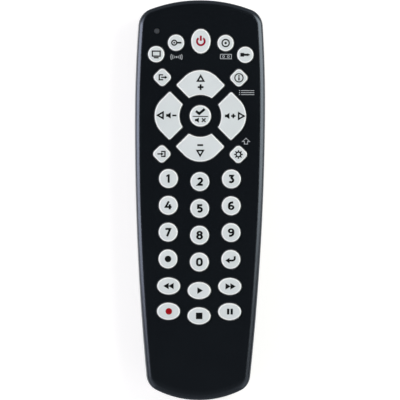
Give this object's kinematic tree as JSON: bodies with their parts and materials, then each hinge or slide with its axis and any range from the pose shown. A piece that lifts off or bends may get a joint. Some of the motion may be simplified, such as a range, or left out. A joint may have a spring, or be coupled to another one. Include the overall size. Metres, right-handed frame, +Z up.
{
  "type": "universal remote control",
  "caption": "Hand-held universal remote control: slim two-shell case with sprung rubber keys, a direction pad, an infrared window at the nose and a sliding battery door.",
  "frame": {"origin": "bottom centre of the bounding box: middle of the plan, on the flat back that it lies on", "axes": "+X across to the right seen from above, +Y along the length toward the infrared window, +Z up out of the key face"},
  "size_m": [0.0584, 0.18, 0.0244],
  "materials": {
    "case": "satin",
    "key": "satin",
    "ir_window": "gloss",
    "lens": "satin",
    "rubber": "matte",
    "board": "satin",
    "lamp": "gloss",
    "component": "matte",
    "ceramic": "satin",
    "sleeve": "satin",
    "cell": "gloss",
    "contact": "satin",
    "screw": "satin"
  },
  "bodies": {
    "handset": {"upper_housing": "case", "lower_housing": "case", "ir_window": "ir_window", "indicator_lens": "lens", "keypad_web": "rubber", "circuit_board": "board", "ir_led": "lamp", "indicator_led": "lamp", "controller_chip": "component", "resonator": "ceramic", "capacitor": "sleeve", "driver_transistor": "component", "chip_resistors": "component", "battery_left": "cell", "battery_right": "cell", "positive_contact": "contact", "negative_spring": "contact", "bridge_contact": "contact", "case_screws": "screw"},
    "door": {"battery_door": "case"},
    "power_key": {"power_key": "key"},
    "tv_key": {"tv_key": "key"},
    "cable_key": {"cable_key": "key"},
    "disc_key": {"disc_key": "key"},
    "aux_key": {"aux_key": "key"},
    "exit_key": {"exit_key": "key"},
    "info_key": {"info_key": "key"},
    "input_key": {"input_key": "key"},
    "setup_key": {"setup_key": "key"},
    "ok_key": {"ok_key": "key"},
    "up_key": {"up_key": "key"},
    "down_key": {"down_key": "key"},
    "left_key": {"left_key": "key"},
    "right_key": {"right_key": "key"},
    "digit_1_key": {"digit_1_key": "key"},
    "digit_2_key": {"digit_2_key": "key"},
    "digit_3_key": {"digit_3_key": "key"},
    "digit_4_key": {"digit_4_key": "key"},
    "digit_5_key": {"digit_5_key": "key"},
    "digit_6_key": {"digit_6_key": "key"},
    "digit_7_key": {"digit_7_key": "key"},
    "digit_8_key": {"digit_8_key": "key"},
    "digit_9_key": {"digit_9_key": "key"},
    "digit_0_key": {"digit_0_key": "key"},
    "dot_key": {"dot_key": "key"},
    "enter_key": {"enter_key": "key"},
    "rewind_key": {"rewind_key": "key"},
    "play_key": {"play_key": "key"},
    "fast_forward_key": {"fast_forward_key": "key"},
    "record_key": {"record_key": "key"},
    "stop_key": {"stop_key": "key"},
    "pause_key": {"pause_key": "key"}
  },
  "joints": [
    {"name": "door_slide", "type": "slide", "parent": "handset", "child": "door", "axis": [0, -1, 0], "range_m": [0, 0.072]},
    {"name": "power_press", "type": "slide", "parent": "handset", "child": "power_key", "axis": [0, 0, -1], "range_m": [0, 0.0008], "stiffness_N_per_m": 600, "springref_m": -0.0006},
    {"name": "tv_press", "type": "slide", "parent": "handset", "child": "tv_key", "axis": [0, 0, -1], "range_m": [0, 0.0008], "stiffness_N_per_m": 600, "springref_m": -0.0006},
    {"name": "cable_press", "type": "slide", "parent": "handset", "child": "cable_key", "axis": [0, 0, -1], "range_m": [0, 0.0008], "stiffness_N_per_m": 600, "springref_m": -0.0006},
    {"name": "disc_press", "type": "slide", "parent": "handset", "child": "disc_key", "axis": [0, 0, -1], "range_m": [0, 0.0008], "stiffness_N_per_m": 600, "springref_m": -0.0006},
    {"name": "aux_press", "type": "slide", "parent": "handset", "child": "aux_key", "axis": [0, 0, -1], "range_m": [0, 0.0008], "stiffness_N_per_m": 600, "springref_m": -0.0006},
    {"name": "exit_press", "type": "slide", "parent": "handset", "child": "exit_key", "axis": [0, 0, -1], "range_m": [0, 0.0008], "stiffness_N_per_m": 600, "springref_m": -0.0006},
    {"name": "info_press", "type": "slide", "parent": "handset", "child": "info_key", "axis": [0, 0, -1], "range_m": [0, 0.0008], "stiffness_N_per_m": 600, "springref_m": -0.0006},
    {"name": "input_press", "type": "slide", "parent": "handset", "child": "input_key", "axis": [0, 0, -1], "range_m": [0, 0.0008], "stiffness_N_per_m": 600, "springref_m": -0.0006},
    {"name": "setup_press", "type": "slide", "parent": "handset", "child": "setup_key", "axis": [0, 0, -1], "range_m": [0, 0.0008], "stiffness_N_per_m": 600, "springref_m": -0.0006},
    {"name": "ok_press", "type": "slide", "parent": "handset", "child": "ok_key", "axis": [0, 0, -1], "range_m": [0, 0.0008], "stiffness_N_per_m": 600, "springref_m": -0.0006},
    {"name": "up_press", "type": "slide", "parent": "handset", "child": "up_key", "axis": [0, 0, -1], "range_m": [0, 0.0008], "stiffness_N_per_m": 600, "springref_m": -0.0006},
    {"name": "down_press", "type": "slide", "parent": "handset", "child": "down_key", "axis": [0, 0, -1], "range_m": [0, 0.0008], "stiffness_N_per_m": 600, "springref_m": -0.0006},
    {"name": "left_press", "type": "slide", "parent": "handset", "child": "left_key", "axis": [0, 0, -1], "range_m": [0, 0.0008], "stiffness_N_per_m": 600, "springref_m": -0.0006},
    {"name": "right_press", "type": "slide", "parent": "handset", "child": "right_key", "axis": [0, 0, -1], "range_m": [0, 0.0008], "stiffness_N_per_m": 600, "springref_m": -0.0006},
    {"name": "digit_1_press", "type": "slide", "parent": "handset", "child": "digit_1_key", "axis": [0, 0, -1], "range_m": [0, 0.0008], "stiffness_N_per_m": 600, "springref_m": -0.0006},
    {"name": "digit_2_press", "type": "slide", "parent": "handset", "child": "digit_2_key", "axis": [0, 0, -1], "range_m": [0, 0.0008], "stiffness_N_per_m": 600, "springref_m": -0.0006},
    {"name": "digit_3_press", "type": "slide", "parent": "handset", "child": "digit_3_key", "axis": [0, 0, -1], "range_m": [0, 0.0008], "stiffness_N_per_m": 600, "springref_m": -0.0006},
    {"name": "digit_4_press", "type": "slide", "parent": "handset", "child": "digit_4_key", "axis": [0, 0, -1], "range_m": [0, 0.0008], "stiffness_N_per_m": 600, "springref_m": -0.0006},
    {"name": "digit_5_press", "type": "slide", "parent": "handset", "child": "digit_5_key", "axis": [0, 0, -1], "range_m": [0, 0.0008], "stiffness_N_per_m": 600, "springref_m": -0.0006},
    {"name": "digit_6_press", "type": "slide", "parent": "handset", "child": "digit_6_key", "axis": [0, 0, -1], "range_m": [0, 0.0008], "stiffness_N_per_m": 600, "springref_m": -0.0006},
    {"name": "digit_7_press", "type": "slide", "parent": "handset", "child": "digit_7_key", "axis": [0, 0, -1], "range_m": [0, 0.0008], "stiffness_N_per_m": 600, "springref_m": -0.0006},
    {"name": "digit_8_press", "type": "slide", "parent": "handset", "child": "digit_8_key", "axis": [0, 0, -1], "range_m": [0, 0.0008], "stiffness_N_per_m": 600, "springref_m": -0.0006},
    {"name": "digit_9_press", "type": "slide", "parent": "handset", "child": "digit_9_key", "axis": [0, 0, -1], "range_m": [0, 0.0008], "stiffness_N_per_m": 600, "springref_m": -0.0006},
    {"name": "digit_0_press", "type": "slide", "parent": "handset", "child": "digit_0_key", "axis": [0, 0, -1], "range_m": [0, 0.0008], "stiffness_N_per_m": 600, "springref_m": -0.0006},
    {"name": "dot_press", "type": "slide", "parent": "handset", "child": "dot_key", "axis": [0, 0, -1], "range_m": [0, 0.0008], "stiffness_N_per_m": 600, "springref_m": -0.0006},
    {"name": "enter_press", "type": "slide", "parent": "handset", "child": "enter_key", "axis": [0, 0, -1], "range_m": [0, 0.0008], "stiffness_N_per_m": 600, "springref_m": -0.0006},
    {"name": "rewind_press", "type": "slide", "parent": "handset", "child": "rewind_key", "axis": [0, 0, -1], "range_m": [0, 0.0008], "stiffness_N_per_m": 600, "springref_m": -0.0006},
    {"name": "play_press", "type": "slide", "parent": "handset", "child": "play_key", "axis": [0, 0, -1], "range_m": [0, 0.0008], "stiffness_N_per_m": 600, "springref_m": -0.0006},
    {"name": "fast_forward_press", "type": "slide", "parent": "handset", "child": "fast_forward_key", "axis": [0, 0, -1], "range_m": [0, 0.0008], "stiffness_N_per_m": 600, "springref_m": -0.0006},
    {"name": "record_press", "type": "slide", "parent": "handset", "child": "record_key", "axis": [0, 0, -1], "range_m": [0, 0.0008], "stiffness_N_per_m": 600, "springref_m": -0.0006},
    {"name": "stop_press", "type": "slide", "parent": "handset", "child": "stop_key", "axis": [0, 0, -1], "range_m": [0, 0.0008], "stiffness_N_per_m": 600, "springref_m": -0.0006},
    {"name": "pause_press", "type": "slide", "parent": "handset", "child": "pause_key", "axis": [0, 0, -1], "range_m": [0, 0.0008], "stiffness_N_per_m": 600, "springref_m": -0.0006}
  ]
}
